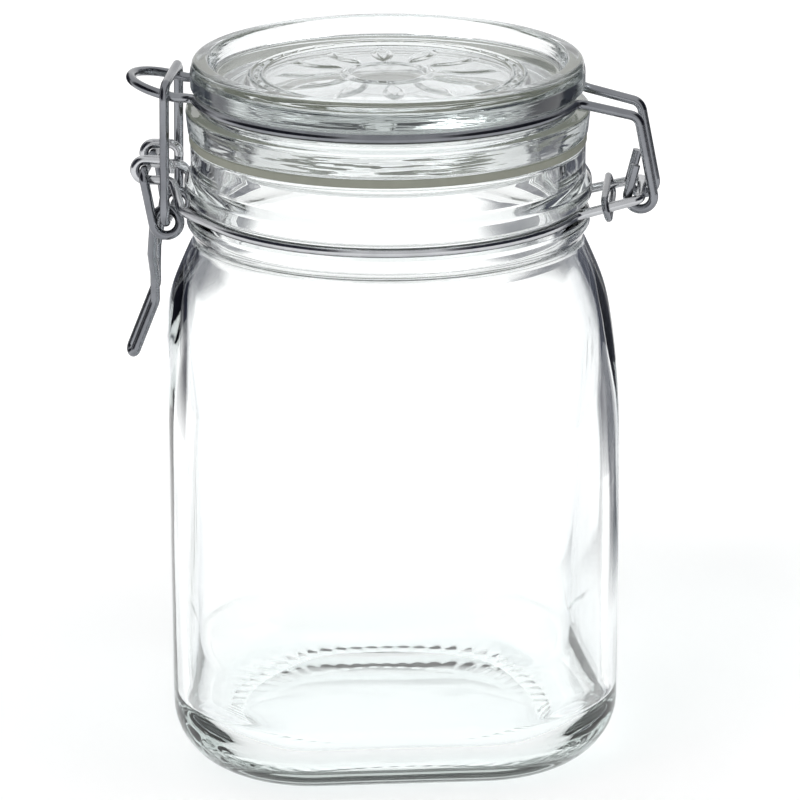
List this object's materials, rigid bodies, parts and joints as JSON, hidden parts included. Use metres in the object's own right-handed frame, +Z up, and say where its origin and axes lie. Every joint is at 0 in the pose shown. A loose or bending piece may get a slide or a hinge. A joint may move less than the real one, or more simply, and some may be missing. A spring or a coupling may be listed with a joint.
{
  "type": "clip-top jar",
  "caption": "Square glass preserving jar with a round neck, a glass lid on a rubber gasket, and a sprung wire clasp and hinge.",
  "frame": {"origin": "centre of the base, on the surface the jar stands on", "axes": "+Z up along the jar's axis; the flat sides face X and Y, with the clasp near -X and the hinge near +X (the wirework is turned 9 degrees round the neck)"},
  "size_m": [0.1298, 0.109, 0.171],
  "materials": {
    "clear_glass": "gloss",
    "pale_rubber": "satin",
    "bright_wire": "gloss"
  },
  "bodies": {
    "jar": {"jar": "clear_glass", "neck_wire": "bright_wire", "clamp_ring": "bright_wire"},
    "lid": {"lid": "clear_glass", "lid_wire": "bright_wire", "gasket": "pale_rubber"},
    "lever": {"lever": "bright_wire"},
    "link": {"link": "bright_wire"}
  },
  "joints": [
    {"name": "lid_hinge", "type": "hinge", "parent": "jar", "child": "lid", "pos_m": [0.06055, -0.00959, 0.1394], "axis": [0.1564, 0.9877, 0], "range_deg": [0, 100], "deforming": ["link"]},
    {"name": "lever_pivot", "type": "hinge", "parent": "jar", "child": "lever", "pos_m": [-0.05738, 0.00909, 0.1439], "axis": [0.1564, 0.9877, 0], "range_deg": [0, 100]},
    {"name": "link_pivot", "type": "hinge", "parent": "lever", "child": "link", "pos_m": [-0.05225, 0.00827, 0.13165], "axis": [0.1564, 0.9877, 0], "range_deg": [-150, 0]}
  ],
  "couplings": [
    {"joint": "lever_pivot", "follows": "lid_hinge", "ratio": 1},
    {"joint": "link_pivot", "follows": "lid_hinge", "ratio": -1.5}
  ]
}
